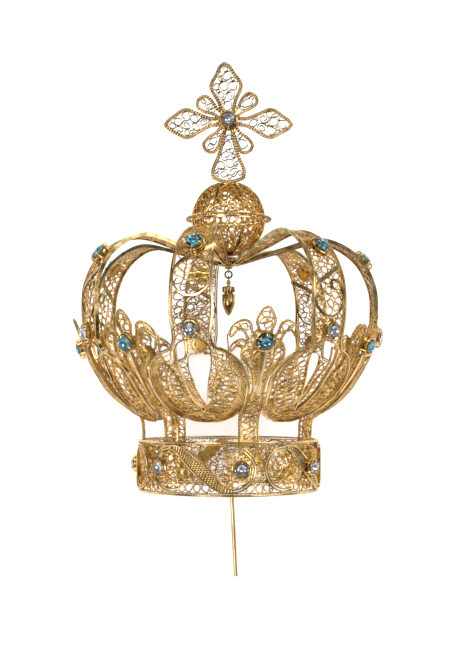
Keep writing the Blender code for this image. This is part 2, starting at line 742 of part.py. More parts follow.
def main():
    for thing in list(bpy.data.objects):
        bpy.data.objects.remove(thing)
    crown = bpy.data.objects.new("crown", None)
    bpy.context.scene.collection.objects.link(crown)
    gold = metal("gilt wirework")
    blue = finish("blue stone", (0.15, 0.65, 0.80), 0.05, 0.0, 1.0)
    clear = finish("clear stone", (0.85, 0.90, 1.0), 0.05, 0.0, 1.0)
    add_band(crown, gold, clear)
    add_arches(crown, gold, blue, clear)
    add_fleurs(crown, gold, blue)
    add_hub_and_globe(crown, gold)
    add_cross(crown, gold, clear)
    add_pendant(crown, gold)
    add_pin(crown, gold)
    lay_down(crown, list(crown.children))


main()
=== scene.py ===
"""Looks of the gilt filigree statue crown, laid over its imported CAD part.

Sizes are in millimetres. Each panel of wirework is drawn flat, as paths that a wire's section is
swept along, and is then bent onto the same profile as its CAD solid.
"""
from math import acos, asin, atan2, cos, pi, radians, sin, sqrt

import bpy
import numpy as np
from mathutils import Matrix, Vector
from mathutils.kdtree import KDTree

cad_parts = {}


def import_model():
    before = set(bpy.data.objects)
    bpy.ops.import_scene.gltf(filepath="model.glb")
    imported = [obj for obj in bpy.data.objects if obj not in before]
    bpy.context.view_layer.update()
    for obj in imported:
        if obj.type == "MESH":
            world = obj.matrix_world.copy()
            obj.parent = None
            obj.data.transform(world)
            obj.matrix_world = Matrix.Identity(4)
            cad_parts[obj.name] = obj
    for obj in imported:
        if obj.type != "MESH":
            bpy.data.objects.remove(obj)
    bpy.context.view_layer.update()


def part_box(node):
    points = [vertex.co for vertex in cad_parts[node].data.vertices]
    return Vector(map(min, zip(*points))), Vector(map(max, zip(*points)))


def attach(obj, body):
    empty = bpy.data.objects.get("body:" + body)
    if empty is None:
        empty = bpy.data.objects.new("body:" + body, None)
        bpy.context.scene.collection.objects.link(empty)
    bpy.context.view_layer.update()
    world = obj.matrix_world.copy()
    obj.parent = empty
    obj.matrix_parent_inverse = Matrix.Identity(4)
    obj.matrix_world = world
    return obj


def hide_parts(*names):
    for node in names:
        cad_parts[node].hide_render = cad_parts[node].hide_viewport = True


MM = 0.001

# Sizes that the CAD part is drawn from; the cross's petals are a little more pointed than there
GAP = 0.3
BACK = -0.35
RIM = 0.45
BLUE_RADIUS = 2.0
CLEAR_RADIUS = 1.8
CUP_WALL = 0.4
STONE_GIRDLE = 1.9
BAND_RADIUS = 25.0
BAND_HEIGHT = 14.0
SCROLLS = 5
SCROLL_START = radians(-17.0)
SCROLL_RADIUS = 5.55
SCROLL_CENTRES = 16.6
BAND_STONE_LEAD = radians(5.25)
ARCHES = 7
ARCH_EDGE = [
    (0.90, 5.4, 0.300), (1.024, 7.2, 0.679), (1.156, 9.4, 0.787), (1.332, 13.6, 0.817),
    (1.44, 17.8, 0.774), (1.528, 21.9, 0.560), (1.556, 23.6, 0.325), (1.612, 32.5, 0.304),
    (1.592, 41.5, 0.291), (1.448, 48.6, 0.289), (1.088, 54.1, 0.295), (0.56, 51.6, 0.350)]
OPENING_EDGE = [(8.0, 0.0), (10.3, 1.4), (15.5, 3.0), (21.0, 4.4), (24.0, 4.0), (25.8, 0.0)]
LOW_STONE_HEIGHT = 28.0
HIGH_STONE_HEIGHT = 48.4
RING_RADIUS = 4.6
RING_RISES = (2.0, -2.4, -1.5, 0.0, 0.0, -1.5, -1.5)
SLANT_RISE = 8.6
HUB_RADIUS = 2.6
HUB_BOTTOM = 60.8
HUB_TOP = 63.9
FLEUR_HALF_WIDTH = 9.0
FLEUR_PROFILE = [(0.968, 6.0), (1.184, 10.2), (1.376, 15.6), (1.504, 20.6), (1.584, 25.5),
                 (1.716, 33.5), (1.732, 34.6)]
STEM_DEPTH = 3.7
STEM_HALF_WIDTH = 2.6
STEM_TOUCH_HEIGHT = 9.9
FLEUR_EDGE = [
    (0.18, 13.5), (0.23, 16.0), (0.33, 18.1), (0.47, 19.6), (0.63, 21.2), (0.62, 22.8),
    (0.52, 24.0), (0.54, 26.0), (0.62, 27.0), (0.73, 27.2), (0.82, 26.2), (0.92, 25.6),
    (1.0, 26.4), (0.96, 28.0), (0.80, 29.5), (0.58, 30.2), (0.40, 29.4), (0.33, 27.6),
    (0.25, 26.2), (0.22, 27.2), (0.30, 29.6), (0.21, 31.6), (0.09, 33.0)]
FLEUR_TIP = 33.3
FLEUR_STONE_HEIGHT = 25.2
GLOBE_RADIUS = 10.3
GLOBE_MIDDLE = 74.5
CROSS_FOOT = 16.6
CROSS_MIDDLE = 101.7
TOP_PETAL = [(1.0, 0.8), (5.8, 3.1), (8.5, 4.5), (9.9, 4.8), (11.0, 4.4), (13.6, 2.75), (15.7, 1.5),
             (16.5, 0.0)]
SIDE_PETAL = [(1.0, 0.8), (5.0, 1.6), (8.6, 3.3), (11.2, 4.4), (12.3, 4.35), (14.8, 2.95), (17.1, 1.4),
              (18.0, 0.0)]
FOOT_PETAL = [(1.0, 0.8), (4.8, 1.9), (9.0, 3.1), (14.6, 4.9), (15.9, 4.6), (CROSS_FOOT, 3.4)]
SMALL_PETAL = [(1.0, 0.7), (4.5, 1.45), (7.4, 2.4), (9.5, 2.25), (10.7, 0.0)]
TOP_LEAN = 4.0
SIDE_DROOP = 3.5
SMALL_PETAL_TURNS = (144.0, 44.0, 234.0, -56.0)
CROSS_STONE_RADIUS = 1.85
PENDANT_TOP = 57.8
PENDANT_RING_MIDDLE = 59.3
PIN_TOP = 8.5
PIN_LENGTH = 32.5
PIN_RADIUS = 0.62
PIN_BEND = [(0.0, 0.5), (0.26, 0.8), (0.5, 1.2), (0.75, 1.6), (1.0, 2.0)]
BRIDGE_HEIGHT = 8.8

HALF_PITCH = pi / ARCHES
BAND_MIDDLE = BAND_RADIUS - RIM
BAND_INSIDE = BAND_MIDDLE + BACK
HUB_MIDDLE = (HUB_BOTTOM + HUB_TOP) / 2
FLEUR_TURNS = [HALF_PITCH / 2 + 2 * HALF_PITCH * k for k in range(ARCHES)]
BAND_STONE_TURNS = [turn - BAND_STONE_LEAD for turn in FLEUR_TURNS]
ARCH_TURNS = [-HALF_PITCH / 2 + 2 * HALF_PITCH * k for k in range(ARCHES)]

BAND_LENGTH = 2 * pi * BAND_MIDDLE
SCROLL_MIDDLES = [(SCROLL_START + 2 * pi * k / SCROLLS) * BAND_MIDDLE for k in range(SCROLLS)]

# Sizes of the wirework alone
RIM_SECTION = np.array([(-0.28, -0.35), (-0.12, -0.45), (0.12, -0.45), (0.28, -0.35),
                        (0.28, 0.35), (0.12, 0.47), (-0.12, 0.47), (-0.28, 0.35)])
SCROLL_END = radians(112.0)
RIBBON_HALF_WIDTH = 1.3
RIBBON_CUT = 0.45
CLAWS = 6
PETAL_EDGE = [(0.25, 25.9), (0.30, 23.5), (0.30, 21.0), (0.22, 18.0), (0.13, 14.5), (0.13, 10.0)]
CUP_ROOM = 0.9
LOBE_TOP = 22.5
ARCH_BACK = -0.45
ARCH_FRAME = 0.36
TWIN_WIRES = ((0.70, 0.42), (1.12, 0.34), (1.54, 0.24))
STRAP_ROPE = 0.66
HOOK_RADIUS = 1.25
GLOBE_GORES = 8
GLOBE_TOP = radians(64.0)
COLLAR_RADIUS = 11.22
COLLAR_CURLS = 44
STONE_SIDES = 8
PENDANT_SIDES = 36
HUB_PROFILE = [(0.0, 0.0), (0.7, 0.0), (1.0, 0.15), (1.1, 0.5), (1.5, 0.8), (2.1, 1.0), (2.6, 1.3),
               (2.6, 1.7), (2.35, 2.0), (1.9, 2.2), (1.9, 2.5), (2.4, 2.7), (2.4, HUB_TOP - HUB_BOTTOM),
               (0.0, HUB_TOP - HUB_BOTTOM)]
PENDANT_PROFILE = [(0.0, 0.0), (0.3, 0.0), (0.45, 0.15), (0.45, 0.5), (0.62, 0.6), (0.62, 0.95),
                   (0.42, 1.1), (0.42, 1.7), (1.2, 1.8), (1.62, 1.9), (1.78, 2.05), (1.78, 3.2),
                   (1.6, 3.4), (1.2, 3.5), (1.2, 3.85), (1.6, 3.95), (1.78, 4.1), (1.78, 5.9),
                   (1.66, 6.0), (1.66, 6.15), (1.78, 6.25), (1.6, 7.1), (1.25, 8.1), (0.8, 9.0),
                   (0.35, 9.7), (0.0, 9.85)]
BRIDGE_SECTION = np.array([(-1.6, 0.25), (-1.35, 0.0), (1.35, 0.0), (1.6, 0.25), (1.6, 0.55),
                           (1.35, 0.8), (-1.35, 0.8), (-1.6, 0.55)])

# Smallest and largest loops that fill a panel, stage by stage
BAND_LOOPS = [(0.85, 1.1), (0.6, 0.75), (0.4, 0.5)]
ARCH_LOOPS = [(0.7, 0.96), (0.5, 0.63), (0.38, 0.44)]
ARCH_TOP_LOOPS = [(0.44, 0.58), (0.34, 0.4)]
FLEUR_LOOPS = [(0.62, 0.82), (0.46, 0.56), (0.36, 0.42)]
CROSS_LOOPS = [(0.95, 1.25), (0.65, 0.8), (0.45, 0.55)]
GLOBE_LOOPS = [(0.8, 1.02), (0.56, 0.7), (0.38, 0.46)]

# A worked surface's grain, in grains and metres
GRAIN_SCALE = 3800.0
GRAIN_DEPTH = 0.0001

# The camera, fitted to the photo in the upright crown's millimetres
CAMERA_TURN = radians(0.17)
CAMERA_REACH = 302.5
CAMERA_HEIGHT = 24.64
LENS = 60.29
LENS_SHIFT = (0.0007, 0.1118)

# Lights as (name, place, size, power) in metres and watts, and the world's greys by height
LIT_SPOT = Vector((0.0, 0.0, 0.03))
LIGHTS = (("key", (-0.38, -0.30, 0.72), (0.4, 0.4), 3.0),
          ("fill", (0.55, 0.05, 0.60), (0.3, 0.5), 1.9),
          ("top", (0.0, 0.65, 0.45), (0.7, 0.25), 1.1))
WORLD_GREYS = ((0.25, 0.75), (0.5, 0.22), (0.72, 0.30), (0.85, 0.85))
WORLD_STRENGTH = 0.5
FLOOR_REACH = 3.0
FLOOR_COLOUR = (0.78, 0.78, 0.78)
FLOOR_GLOW = 0.80

# Materials of a piece, by place in its list; the last is a darker gilt, painted shade and dark reflection
GOLD, WARM, POLISHED, PAINTED_SHADE_GOLD = 0, 1, 2, 3


# Flat drawing

def smooth_curve(knots, step):
    """Points about a step apart on a smooth curve through the knots."""
    knots = np.array(knots, float)
    lengths = np.linalg.norm(np.diff(knots, axis=0), axis=1)
    slopes = np.diff(knots, axis=0) / lengths[:, None]
    before, after = lengths[:-1, None], lengths[1:, None]
    inner = (slopes[1:] * before + slopes[:-1] * after) / (before + after)
    tangents = np.vstack([slopes[:1], inner, slopes[-1:]])
    points = []
    for i, length in enumerate(lengths):
        count = max(1, round(length / step))
        t = (np.arange(count) / count)[:, None]
        points.append(knots[i] * (2 * t ** 3 - 3 * t ** 2 + 1)
                      + tangents[i] * (t ** 3 - 2 * t ** 2 + t) * length
                      + knots[i + 1] * (3 * t ** 2 - 2 * t ** 3)
                      + tangents[i + 1] * (t ** 3 - t ** 2) * length)
    return np.vstack(points + [knots[-1:]])


def smooth_loop(knots, step):
    """A closed smooth curve through the knots; its last point isn't its first."""
    curve = smooth_curve(np.vstack([knots[-3:], knots, knots[:4]]), step)
    start = int(np.argmin(np.linalg.norm(curve - knots[0], axis=1)))
    rest = np.linalg.norm(curve[start + 3:] - curve[start], axis=1)
    return curve[start:start + 3 + int(np.argmin(rest))]


def even(path, step, closed=False):
    """The path with its points spread evenly, about a step apart."""
    path = np.asarray(path, float)
    if closed:
        path = np.vstack([path, path[:1]])
    lengths = np.concatenate([[0.0], np.cumsum(np.linalg.norm(np.diff(path, axis=0), axis=1))])
    count = max(2, int(round(lengths[-1] / step)))
    at = np.linspace(0.0, lengths[-1], count + 1)
    spread = np.column_stack([np.interp(at, lengths, row) for row in path.T])
    return spread[:-1] if closed else spread


def mirrored(half):
    """A closed outline from its right half, which runs from the bottom to the top."""
    half = np.asarray(half, float)
    left = half[half[:, 0] > 1e-6][::-1] * [-1.0, 1.0]
    return np.vstack([half, left])


def turned(points, angle):
    """The points' x and y, turned anticlockwise."""
    x, y = points[:, 0], points[:, 1]
    return np.column_stack([x * cos(angle) - y * sin(angle), x * sin(angle) + y * cos(angle)])


def arc(centre, radius, start, end, step=0.35):
    count = max(4, int(abs(end - start) * radius / step))
    angles = np.linspace(start, end, count + 1)
    return np.column_stack([centre[0] + radius * np.cos(angles), centre[1] + radius * np.sin(angles)])


def ring_path(centre, radius, step=0.35):
    return arc(centre, radius, 0.0, 2 * pi, step)[:-1]


def sideways(path, closed):
    """Unit directions to the left of the path, lengthened at its corners."""
    if closed:
        before, after = path - np.roll(path, 1, axis=0), np.roll(path, -1, axis=0) - path
    else:
        steps = np.diff(path, axis=0)
        before, after = np.vstack([steps[:1], steps]), np.vstack([steps, steps[-1:]])
    before, after = (steps / np.maximum(np.linalg.norm(steps, axis=1), 1e-9)[:, None]
                     for steps in (before, after))
    cosine = 1 + (before * after).sum(axis=1)
    total = (before + after) / np.maximum(cosine, 0.7)[:, None]
    return np.column_stack([-total[:, 1], total[:, 0]])


def beside(path, distance, closed=False):
    """The path moved to its left, by one distance or one for each point."""
    return path + sideways(path, closed) * np.asarray(distance).reshape(-1, 1)


def inside(loop, points):
    """Which points the outline goes round."""
    result = np.zeros(len(points), bool)
    x, y = points[:, 0], points[:, 1]
    for (x1, y1), (x2, y2) in zip(loop, np.roll(loop, -1, axis=0)):
        if y1 != y2:
            result ^= ((y1 > y) != (y2 > y)) & (x < x1 + (y - y1) * (x2 - x1) / (y2 - y1))
    return result


def box_section(low, high, bottom, top):
    """A rectangular wire, from low to high across and from bottom to top in level."""
    return np.array([(low, bottom), (high, bottom), (high, top), (low, top)])


def ridge_section(half, bottom, top):
    """A flattened wire on edge, with a ridged top."""
    shoulder = top - 0.45 * half
    return np.array([(-half, bottom), (half, bottom), (half, shoulder), (0.0, top), (-half, shoulder)])


def round_section(radius_across, radius_level, sides, level=0.0):
    turns = (np.arange(sides) + 0.5) * 2 * pi / sides
    return np.column_stack([radius_across * np.cos(turns), level + radius_level * np.sin(turns)])


# Surfaces

class Profile:
    """A bent sheet's middle line, as radius and height, measured along its own length."""

    def __init__(self, knots):
        self.points = smooth_curve(knots, 0.3)
        self.lengths = np.concatenate(
            [[0.0], np.cumsum(np.linalg.norm(np.diff(self.points, axis=0), axis=1))])
        along = np.gradient(self.points, self.lengths, axis=0)
        self.along = along / np.linalg.norm(along, axis=1)[:, None]

    def nearest(self, radius, height):
        return self.lengths[np.argmin(np.linalg.norm(self.points - [radius, height], axis=1))]

    def above_band(self, lift):
        """The length at a height above the band's top."""
        height = BAND_HEIGHT + lift
        index = max(1, int(np.argmax(self.points[:, 1] >= height)))
        low, high = self.points[index - 1, 1], self.points[index, 1]
        share = (height - low) / (high - low)
        return self.lengths[index - 1] + share * (self.lengths[index] - self.lengths[index - 1])

    def at(self, length):
        """Points and outward directions at lengths, going straight on past the ends."""
        held = np.clip(length, 0.0, self.lengths[-1])
        point, along = (np.column_stack([np.interp(held, self.lengths, row) for row in values.T])
                        for values in (self.points, self.along))
        along /= np.linalg.norm(along, axis=1)[:, None]
        return point + along * (length - held)[:, None], np.column_stack([along[:, 1], -along[:, 0]])


def around(radius, angle, height):
    """Points of the upright crown; angle 0 is the front, and it grows towards +X."""
    return np.column_stack([radius * np.sin(angle), -radius * np.cos(angle), height])


def bent_sheet(profile):
    def place(x, y, level):
        point, outward = profile.at(y)
        lifted = point + outward * level[:, None]
        return around(lifted[:, 0], x / point[:, 0], lifted[:, 1])
    return place


def band_sheet(x, y, level):
    return around(BAND_MIDDLE + level, x / BAND_MIDDLE, y)


def ball_sheet(radius, middle, below):
    """A ball's surface: x is along its equator and y towards its top, or bottom."""
    side = -1.0 if below else 1.0

    def place(x, y, level):
        rise = np.clip(y / radius, 0.0, pi / 2 - 0.01)
        reach = (radius + level) * np.cos(rise)
        turn = side * x / (radius * np.cos(rise))
        return around(reach, turn, middle + side * (radius + level) * np.sin(rise))
    return place


def upright_panel(height):
    def place(x, y, level):
        return np.column_stack([x, -level, height + y])
    return place


def level_panel(height):
    """A panel that lies level, seen from above."""
    def place(x, y, level):
        return np.column_stack([x, y, height + level])
    return place


def crown_matrix():
    """From the upright crown, in millimetres, to where it lies, worked out from three solids."""
    def middle(name):
        low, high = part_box(name)
        return (Vector(low) + Vector(high)) / 2
    up = (middle("globe_ring") - middle("hub")).normalized()
    origin = middle("hub") - up * HUB_MIDDLE * MM
    stone = middle("stone_band_1") - origin
    stone = (stone - up * stone.dot(up)).normalized()
    front = Matrix.Rotation(-BAND_STONE_TURNS[0], 3, up) @ stone
    axes = Matrix((up.cross(front), -front, up)).transposed()
    return Matrix.Translation(origin) @ (axes * MM).to_4x4()


# Meshes

class Wires:
    """The bodies of one piece, each swept along a flat path and put onto a surface."""

    def __init__(self, place, turn=0.0):
        self.place = place
        self.turn = turn
        self.points, self.faces, self.finishes = [], [], []
        self.count = 0

    def put(self, points, faces, finish):
        """Add points of the upright crown, and faces as arrays of equal rows."""
        self.points.append(np.column_stack([turned(points, self.turn), points[:, 2]]))
        self.add_faces(faces, finish, self.count)
        self.count += len(points)

    def add_faces(self, faces, finish, first):
        """Add faces between points that are numbered from the first one on."""
        for rows in faces:
            self.faces.append(np.asarray(rows) + first)
            self.finishes.append(np.full(len(rows), finish))

    def sweep(self, path, section, closed=False, finish=GOLD, width=None, twist=None, lift=0.0,
              round_band=False):
        """A wire along a flat path. width scales its section across, and twist turns it.

        A path round the band is straight in the drawing and still meets its own start.
        """
        path = np.asarray(path, float)
        side = sideways(path, closed)
        across, level = (np.tile(row, (len(path), 1)) for row in section.T)
        if twist is not None:
            middle = section.mean(axis=0)
            c, s = np.cos(twist)[:, None], np.sin(twist)[:, None]
            a, b = across - middle[0], level - middle[1]
            across, level = middle[0] + a * c - b * s, middle[1] + a * s + b * c
        if width is not None:
            across = across * np.asarray(width)[:, None]
        level = level + lift
        x = path[:, :1] + side[:, :1] * across
        y = path[:, 1:] + side[:, 1:] * across
        points = self.place(x.ravel(), y.ravel(), level.ravel())
        self.put(points, tube_faces(len(path), len(section), closed or round_band), finish)

    def rope(self, path, radius, level, closed=False, pitch=0.66, finish=GOLD, across=0.0):
        """A wire of two twisted strands."""
        step = 0.15
        path = beside(even(path, step, closed), across, closed)
        total = len(path) * step
        turns = max(1, round(total / pitch)) * pi / total
        self.sweep(path, round_section(radius, radius * 0.6, 6, level), closed, finish,
                   twist=np.arange(len(path)) * step * turns)

    def ring(self, centre, radius, step, section, finish=GOLD):
        """A wire in a circle."""
        self.sweep(ring_path(centre, radius, step), section, True, finish)

    def lathe(self, profile, sides, finish=GOLD):
        """A body turned round the crown's axis, from points of radius and height."""
        rings, points, faces, count = [], [], [], 0
        for radius, height in profile:
            on_axis = radius < 1e-6
            ring = around(radius, np.arange(sides) * 2 * pi / sides, np.full(sides, height))
            points.append(ring[:1] if on_axis else ring)
            rings.append(np.full(sides, count) if on_axis else count + np.arange(sides))
            count += len(points[-1])
        for low, high in zip(rings, rings[1:]):
            corners = np.stack([low, np.roll(low, -1), np.roll(high, -1), high], axis=-1)
            if low[0] == low[1]:
                corners = corners[:, [0, 2, 3]]
            elif high[0] == high[1]:
                corners = corners[:, :3]
            faces.append(corners)
        self.put(np.vstack(points), faces, finish)

    def disc(self, centre, radius, low, high, finish):
        """A round plate."""
        ring = ring_path(centre, radius, radius / 2.5)
        both = np.vstack([ring, ring])
        points = self.place(both[:, 0], both[:, 1], np.repeat([low, high], len(ring)))
        self.put(points, tube_faces(2, len(ring), False), finish)

    def mesh(self, name, matrix):
        """The whole piece as a mesh, in place."""
        world = np.array(matrix)
        placed = np.vstack(self.points) @ world[:3, :3].T + world[:3, 3]
        data = bpy.data.meshes.new(name)
        data.from_pydata(placed.tolist(), [], [face for rows in self.faces for face in rows.tolist()])
        data.polygons.foreach_set("material_index", np.concatenate(self.finishes).astype(np.int32))
        data.validate()
        data.shade_smooth()
        data.set_sharp_from_angle(angle=radians(42.0))
        return data


def tube_faces(rings, sides, closed):
    """Faces between rings of equally many points, and the two ends of an open tube."""
    row, column = np.arange(rings if closed else rings - 1)[:, None], np.arange(sides)[None, :]
    after, following = (row + 1) % rings, (column + 1) % sides
    faces = [np.stack([row * sides + column, row * sides + following,
                       after * sides + following, after * sides + column], axis=-1).reshape(-1, 4)]
    if not closed:
        faces += [column[:, ::-1], (rings - 1) * sides + column]
    return faces


# Filling with curls

def pack(outline, holes, barriers, stages, seed, stretch=1.0, lean=0.0):
    """Circles that fill an outline side by side, as x, y and radius in a stretched plane.

    barriers are (path, half thickness, closed), and stages (smallest, largest radius). The matrix
    returned leads back into the drawing.
    """
    pitch, drift = 0.16, 0.3
    rng = np.random.default_rng(seed)
    c, s = cos(lean), sin(lean)
    there = np.array([[c / stretch, s / stretch], [-s, c]])
    low, high = outline.min(axis=0), outline.max(axis=0)
    xs, ys = np.meshgrid(np.arange(low[0], high[0], pitch), np.arange(low[1], high[1], pitch))
    points = np.column_stack([xs.ravel(), ys.ravel()])
    points += rng.uniform(-0.3, 0.3, points.shape) * pitch
    keep = inside(outline, points)
    for hole in holes:
        keep &= ~inside(hole, points)
    points = points[keep] @ there.T
    room = room_at(points, [(even(path, 0.2, closed) @ there.T, half) for path, half, closed in barriers])
    order = points[:, 1] + drift * points[:, 0] + rng.uniform(0.0, 0.25, len(points))
    circles = []
    for smallest, largest in stages:
        misses = 0
        while misses < 3:
            radius = rng.uniform(smallest, largest) if misses < 2 else smallest
            free = room >= radius
            if not free.any():
                misses += 1
                continue
            index = int(np.argmin(np.where(free, order, np.inf)))
            x, y = points[index]
            radius = min(room[index], largest)
            circles.append((x, y, radius))
            room = np.minimum(room, np.hypot(points[:, 0] - x, points[:, 1] - y) - radius)
    return circles, np.linalg.inv(there), rng


def room_at(points, lines):
    """How far each point is from the nearest line, each a row of spots and its half thickness."""
    spots = np.vstack([samples for samples, _ in lines])
    halves = np.concatenate([np.full(len(samples), half) for samples, half in lines])
    tree = KDTree(len(spots))
    for i, (x, y) in enumerate(spots):
        tree.insert((x, y, 0.0), i)
    tree.balance()
    room = np.empty(len(points))
    for i, (x, y) in enumerate(points):
        _, index, distance = tree.find((x, y, 0.0))
        room[i] = distance - halves[index]
    return room


def fill(wires, outline, holes, barriers, stages, seed, thickness=0.25, low=-0.2, high=0.18,
         stretch=1.0, lean=0.0, finish=GOLD, curls=0.0):
    """Fill an outline with small loops of flattened wire, a share of them curled up inside."""
    circles, back, rng = pack(outline, holes, barriers, stages, seed, stretch, lean)
    starts, ways = joined(circles, rng)
    sway = rng.uniform(0.0, 2 * pi, 4)
    section = ridge_section(thickness / 2, low, high)
    for (x, y, radius), start, way in zip(circles, starts, ways):
        curl = rng.random() < curls and radius > 0.6
        turns = rng.uniform(1.3, 1.6) if curl else rng.uniform(0.95, 1.15)
        t = np.linspace(0.0, 1.0, 14 if curl else 10)
        reach = radius * (1.05 - (0.72 if curl else 0.22) * t ** 1.2)
        angle = start + way * 2 * pi * turns * t
        path = np.column_stack([x + reach * np.cos(angle), y + reach * np.sin(angle)]) @ back.T
        path += 0.18 * np.sin(2.3 * path[:, ::-1] + sway[:2] + np.sin(1.2 * path + sway[2:]))
        wires.sweep(path, section, finish=finish, lift=rng.uniform(-0.06, 0.06))


def joined(circles, rng):
    """Where each curl starts and which way it turns, so that neighbours make S scrolls."""
    x, y, radius = np.array(circles).T
    starts = rng.uniform(0.0, 2 * pi, len(x))
    ways = np.where(rng.random(len(x)) < 0.5, 1.0, -1.0)
    free = np.ones(len(x), bool)
    for i in range(len(x)):
        if not free[i]:
            continue
        apart = np.hypot(x - x[i], y - y[i]) - radius - radius[i]
        apart[~free] = apart[i] = np.inf
        j = int(np.argmin(apart))
        if apart[j] > 0.25:
            continue
        heading = atan2(y[j] - y[i], x[j] - x[i])
        starts[i], starts[j] = heading, heading + pi
        ways[j] = ways[i]
        free[i] = free[j] = False
    return starts, ways


# Finishes

def shaded(name, colour, values):
    """A new material and its shader. The values go into the sockets of those names."""
    material = bpy.data.materials.new(name)
    material.use_nodes = True
    material.diffuse_color = (*colour, 1.0)
    shader = material.node_tree.nodes["Principled BSDF"]
    shader.inputs["Base Color"].default_value = (*colour, 1.0)
    for socket, value in values.items():
        shader.inputs[socket].default_value = value
    return material, shader


def link(source, output, target, socket):
    source.id_data.links.new(source.outputs[output], target.inputs[socket])


def gold(name, pale, deep, roughness, scale, bump):
    """Gilding, with a colour that wanders between two tones and a fine worked surface."""
    material, shader = shaded(name, [(a + b) / 2 for a, b in zip(pale, deep)],
                              {"Metallic": 1.0, "Roughness": roughness})
    material.diffuse_color = (*pale, 1.0)
    nodes = material.node_tree.nodes
    place = nodes.new("ShaderNodeTexCoord")
    patches, grain = (nodes.new("ShaderNodeTexNoise") for _ in range(2))
    for noise, size, detail in ((patches, scale, 3.0), (grain, GRAIN_SCALE, 1.0)):
        noise.inputs["Scale"].default_value = size
        noise.inputs["Detail"].default_value = detail
        link(place, "Object", noise, "Vector")
    tones = nodes.new("ShaderNodeValToRGB")
    for element, position, tone in zip(tones.color_ramp.elements, (0.38, 0.62), (deep, pale)):
        element.position = position
        element.color = (*tone, 1.0)
    relief = nodes.new("ShaderNodeBump")
    relief.inputs["Strength"].default_value = bump
    relief.inputs["Distance"].default_value = GRAIN_DEPTH
    link(patches, "Fac", tones, "Fac")
    link(tones, "Color", shader, "Base Color")
    link(grain, "Fac", relief, "Height")
    link(relief, "Normal", shader, "Normal")
    return material


def crystal(name, tint):
    """The clear front of a stone."""
    return shaded(name, tint, {"Roughness": 0.02, "IOR": 1.55, "Transmission Weight": 1.0})[0]


def foil(name, tint, painted_glow):
    """The mirrored back of a stone, a little uneven, with a painted glow that stands in for the light a cut
    stone sends back.
    """
    material = gold(name, tint, [0.45 * part for part in tint], 0.08, 900.0, 0.05)
    shader = material.node_tree.nodes["Principled BSDF"]
    # Painted glow: the foil gives off a little light of its own.
    shader.inputs["Emission Color"].default_value = (*tint, 1.0)
    shader.inputs["Emission Strength"].default_value = painted_glow
    return material


def show(name, wires, matrix, materials, replaced):
    """Put a piece in the scene in place of its CAD solids."""
    body = bpy.data.objects.new(name, wires.mesh(name, matrix))
    bpy.context.scene.collection.objects.link(body)
    for material in materials:
        body.data.materials.append(material)
    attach(body, "root")
    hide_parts(*replaced)


# Settings and stones

def setting(wires, x, y, radius, rosette=True):
    """A claw cup with curls on its back, on a rosette of small loops."""
    wall = radius + GAP + CUP_WALL / 2
    for low, high, half in ((0.2, 0.75, 0.22), (1.15, 1.6, 0.2)):
        wires.ring((x, y), wall - 0.1, 0.45, ridge_section(half, low, high), POLISHED)
    wires.ring((x, y), wall - 0.45, 0.45, box_section(-0.12, 0.12, 0.0, 1.3))
    wires.disc((x, y), wall - 0.8, 0.0, 0.2, GOLD)
    curl = box_section(-0.13, 0.13, -0.24, 0.1)
    wires.ring((x, y), 0.45, 0.3, curl, WARM)
    claw_line = smooth_curve([(wall + 0.35, 0.1), (wall + 0.2, 0.9), (wall + 0.12, 1.7),
                              (radius + 0.1, 2.25), (radius - 0.35, 2.35)], 0.35)
    for turn in 2 * pi * (np.arange(CLAWS) + 0.5) / CLAWS:
        out = np.array([cos(turn), sin(turn)])
        claw(wires, (x, y), out, claw_line)
        wires.ring((x + 1.08 * out[0], y + 1.08 * out[1]), 0.5, 0.35, curl, WARM)
        if rosette:
            reach, between = wall + 0.75, turn + 0.52
            wires.ring((x + reach * cos(between), y + reach * sin(between)), 0.5, 0.35,
                       ridge_section(0.13, 0.05, 0.45), WARM)


def claw(wires, centre, out, line, half=0.2, sides=6):
    """A claw that rises beside a stone and bends over its edge."""
    side = np.array([-out[1], out[0]])
    steps = np.gradient(line, axis=0)
    steps /= np.linalg.norm(steps, axis=1)[:, None]
    turns = np.arange(sides) * 2 * pi / sides
    taper = np.linspace(1.15, 0.8, len(line))[:, None] * half
    reach = line[:, :1] + steps[:, 1:] * np.cos(turns) * taper
    level = line[:, 1:] - steps[:, :1] * np.cos(turns) * taper
    aside = np.sin(turns) * taper
    x = centre[0] + out[0] * reach + side[0] * aside
    y = centre[1] + out[1] * reach + side[1] * aside
    points = wires.place(x.ravel(), y.ravel(), level.ravel())
    wires.put(points, tube_faces(len(line), sides, False), WARM)


